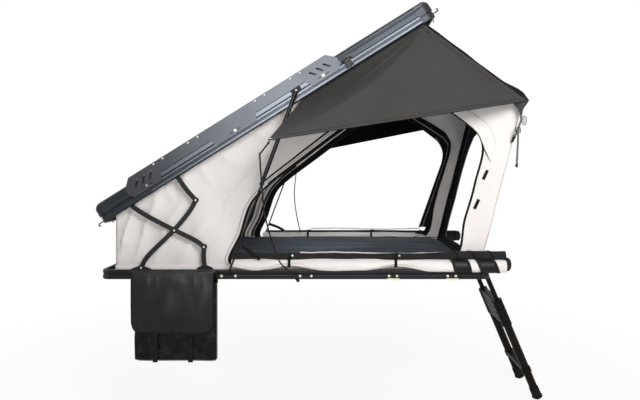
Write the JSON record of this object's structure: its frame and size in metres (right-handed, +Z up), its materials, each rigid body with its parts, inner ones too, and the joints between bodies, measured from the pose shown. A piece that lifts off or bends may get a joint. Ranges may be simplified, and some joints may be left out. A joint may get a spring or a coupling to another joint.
{
  "type": "roof top tent",
  "caption": "Wedge-opening hard-shell roof top tent with scissor lift linkage, gas struts, canvas walls, side awnings, shoe bag and telescopic ladder.",
  "frame": {"origin": "centre of the base's underside, between the roof-bar bolts", "axes": "+X towards the ladder end, -Y the near side in the picture, +Z up"},
  "size_m": [2.6164, 2.54, 2.3695],
  "materials": {
    "frame": "satin black powder coat",
    "lid_shell": "satin charcoal powder coat",
    "moulding": "satin moulded corner",
    "composite": "sheet-faced core panel",
    "channel": "mill finish",
    "rack": "satin grey powder coat",
    "fixing": "bright zinc",
    "steel_black": "satin black",
    "strut_rod": "polished",
    "canvas": "polycotton canvas",
    "fly": "coated fabric",
    "foam_cover": "woven cover",
    "bag_cloth": "coated fabric",
    "spring_rod": "oiled spring steel",
    "ladder_tube": "anodised black",
    "rubber_foot": "matt"
  },
  "bodies": {
    "base": {"base_rail_near": "frame", "base_rail_far": "frame", "base_end_rails": "frame", "base_corners": "moulding", "floor_panel": "composite", "mounting_channels": "channel", "mattress": "foam_cover", "linkage_feet": "steel_black", "strut_feet": "steel_black", "pole_sockets": "steel_black", "side_brackets": "steel_black", "wall_near": "canvas", "wall_far": "canvas", "wall_rear": "canvas", "wall_front": "canvas", "door_roll_near": "canvas", "door_roll_far": "canvas", "ladder_hinge": "steel_black"},
    "lid": {"lid_rail_near": "lid_shell", "lid_rail_far": "lid_shell", "lid_end_rails": "lid_shell", "lid_corners": "moulding", "roof_panel": "lid_shell", "rack_plate_near": "rack", "rack_plate_far": "rack", "rack_bolts": "fixing", "linkage_lid_brackets": "steel_black", "strut_studs": "steel_black", "latch_plates": "fixing", "end_hooks": "fixing"},
    "spreaders": {"spreader_near": "steel_black", "spreader_far": "steel_black", "front_fly": "fly"},
    "awning_near": {"awning_near": "fly"},
    "awning_far": {"awning_far": "fly"},
    "pole_near": {"pole_near": "spring_rod"},
    "pole_far": {"pole_far": "spring_rod"},
    "arms_a": {"arm_a_near": "steel_black", "arm_a_far": "steel_black"},
    "arms_b": {"arm_b_near": "steel_black", "arm_b_far": "steel_black"},
    "links_a": {"link_a_near": "steel_black", "link_a_far": "steel_black"},
    "links_b": {"link_b_near": "steel_black", "link_b_far": "steel_black"},
    "strut_rods": {"strut_rod_near": "strut_rod", "strut_rod_far": "strut_rod"},
    "strut_tubes": {"strut_tube_near": "steel_black", "strut_tube_far": "steel_black"},
    "latch_near": {"latch_lever_near": "fixing"},
    "latch_far": {"latch_lever_far": "fixing"},
    "bag": {"bag_body": "bag_cloth"},
    "bag_flap": {"bag_flap": "bag_cloth"},
    "ladder_1": {"ladder_section_1": "ladder_tube"},
    "ladder_2": {"ladder_section_2": "ladder_tube"},
    "ladder_3": {"ladder_section_3": "ladder_tube"},
    "ladder_4": {"ladder_section_4": "ladder_tube"},
    "ladder_5": {"ladder_section_5": "ladder_tube"},
    "ladder_6": {"ladder_section_6": "ladder_tube", "ladder_feet": "rubber_foot"}
  },
  "joints": [
    {"name": "lid_fold", "type": "hinge", "parent": "base", "child": "lid", "pos_m": [-1.48721, 0, 0.19642], "axis": [0, 1, 0], "range_deg": [0, 32], "stiffness_Nm_per_rad": 420, "springref_deg": -97.4, "deforming": ["wall_near", "wall_far", "wall_rear", "wall_front", "door_roll_near", "door_roll_far", "awning_near", "awning_far", "front_fly"]},
    {"name": "arms_a_fold", "type": "hinge", "parent": "base", "child": "arms_a", "pos_m": [-0.847, 0, 0.058], "axis": [0, 1, 0], "range_deg": [0, 44.7]},
    {"name": "links_b_fold", "type": "hinge", "parent": "base", "child": "links_b", "pos_m": [-0.50367, 0, 0.058], "axis": [0, 1, 0], "range_deg": [0, 85.89]},
    {"name": "arms_b_fold", "type": "hinge", "parent": "lid", "child": "arms_b", "pos_m": [-0.93898, 0, 0.43473], "axis": [0, 1, 0], "range_deg": [-58.96, 0]},
    {"name": "links_a_fold", "type": "hinge", "parent": "lid", "child": "links_a", "pos_m": [-0.67714, 0, 0.59834], "axis": [0, 1, 0], "range_deg": [-86.29, 0]},
    {"name": "struts_fold", "type": "hinge", "parent": "base", "child": "strut_rods", "pos_m": [-0.365, 0, 0.022], "axis": [0, 1, 0], "range_deg": [0, 61.61]},
    {"name": "struts_slide", "type": "slide", "parent": "strut_rods", "child": "strut_tubes", "axis": [0.3472, 0, 0.9378], "range_m": [-0.48, 0]},
    {"name": "spreaders_fold", "type": "hinge", "parent": "lid", "child": "spreaders", "pos_m": [0.67941, 0, 1.40002], "axis": [0, 1, 0], "range_deg": [0, 114.12]},
    {"name": "awning_near_fold", "type": "hinge", "parent": "lid", "child": "awning_near", "pos_m": [0.03579, -0.662, 0.97509], "axis": [0.8065, 0.309, 0.504], "range_deg": [0, 180.19]},
    {"name": "awning_far_fold", "type": "hinge", "parent": "lid", "child": "awning_far", "pos_m": [0.03579, 0.662, 0.97509], "axis": [-0.8065, 0.309, -0.504], "range_deg": [0, 180.19]},
    {"name": "pole_near_fold", "type": "hinge", "parent": "base", "child": "pole_near", "pos_m": [0.013, -0.682, -0.008], "axis": [0.0657, 0.7805, 0.6217], "range_deg": [0, 94.49]},
    {"name": "pole_far_fold", "type": "hinge", "parent": "base", "child": "pole_far", "pos_m": [0.013, 0.682, -0.008], "axis": [-0.0657, 0.7805, -0.6217], "range_deg": [0, 94.49]},
    {"name": "latch_near_open", "type": "hinge", "parent": "lid", "child": "latch_near", "pos_m": [0.27426, -0.684, 1.19167], "axis": [-0.848, 0, -0.5299], "range_deg": [0, 120]},
    {"name": "latch_far_open", "type": "hinge", "parent": "lid", "child": "latch_far", "pos_m": [0.27426, 0.684, 1.19167], "axis": [0.848, 0, 0.5299], "range_deg": [0, 120]},
    {"name": "bag_slide", "type": "slide", "parent": "base", "child": "bag", "axis": [1, 0, 0], "range_m": [-0.1, 0.005]},
    {"name": "bag_flap_lift", "type": "hinge", "parent": "bag", "child": "bag_flap", "pos_m": [-0.647, -0.7193, 0.049], "axis": [-1, 0, 0], "range_deg": [0, 150]},
    {"name": "ladder_swing", "type": "hinge", "parent": "base", "child": "ladder_1", "pos_m": [1.122, 0, 0.03], "axis": [0, 1, 0], "range_deg": [-60, 20]},
    {"name": "ladder_top", "type": "slide", "parent": "ladder_1", "child": "ladder_2", "axis": [0.3875, 0, -0.9219], "range_m": [-0.24, 0]},
    {"name": "ladder_extend", "type": "slide", "parent": "ladder_2", "child": "ladder_3", "axis": [0.3875, 0, -0.9219], "range_m": [0, 0.31]},
    {"name": "ladder_extend_4", "type": "slide", "parent": "ladder_3", "child": "ladder_4", "axis": [0.3875, 0, -0.9219], "range_m": [0, 0.31]},
    {"name": "ladder_extend_5", "type": "slide", "parent": "ladder_4", "child": "ladder_5", "axis": [0.3875, 0, -0.9219], "range_m": [0, 0.31]},
    {"name": "ladder_extend_6", "type": "slide", "parent": "ladder_5", "child": "ladder_6", "axis": [0.3875, 0, -0.9219], "range_m": [0, 0.31]}
  ],
  "couplings": [
    {"joint": "arms_a_fold", "follows": "lid_fold", "ratio": 1.3953},
    {"joint": "links_b_fold", "follows": "lid_fold", "ratio": 2.6809},
    {"joint": "arms_b_fold", "follows": "lid_fold", "ratio": -1.8402},
    {"joint": "links_a_fold", "follows": "lid_fold", "ratio": -2.6937},
    {"joint": "struts_fold", "follows": "lid_fold", "ratio": 1.9232},
    {"joint": "struts_slide", "follows": "lid_fold", "m_per_rad": -0.85813},
    {"joint": "spreaders_fold", "follows": "lid_fold", "ratio": 3.5625},
    {"joint": "awning_near_fold", "follows": "lid_fold", "ratio": 5.625},
    {"joint": "awning_far_fold", "follows": "lid_fold", "ratio": 5.625},
    {"joint": "pole_near_fold", "follows": "lid_fold", "ratio": 2.9495},
    {"joint": "pole_far_fold", "follows": "lid_fold", "ratio": 2.9495},
    {"joint": "ladder_extend_4", "follows": "ladder_extend", "ratio": 1},
    {"joint": "ladder_extend_5", "follows": "ladder_extend", "ratio": 1},
    {"joint": "ladder_extend_6", "follows": "ladder_extend", "ratio": 1}
  ]
}
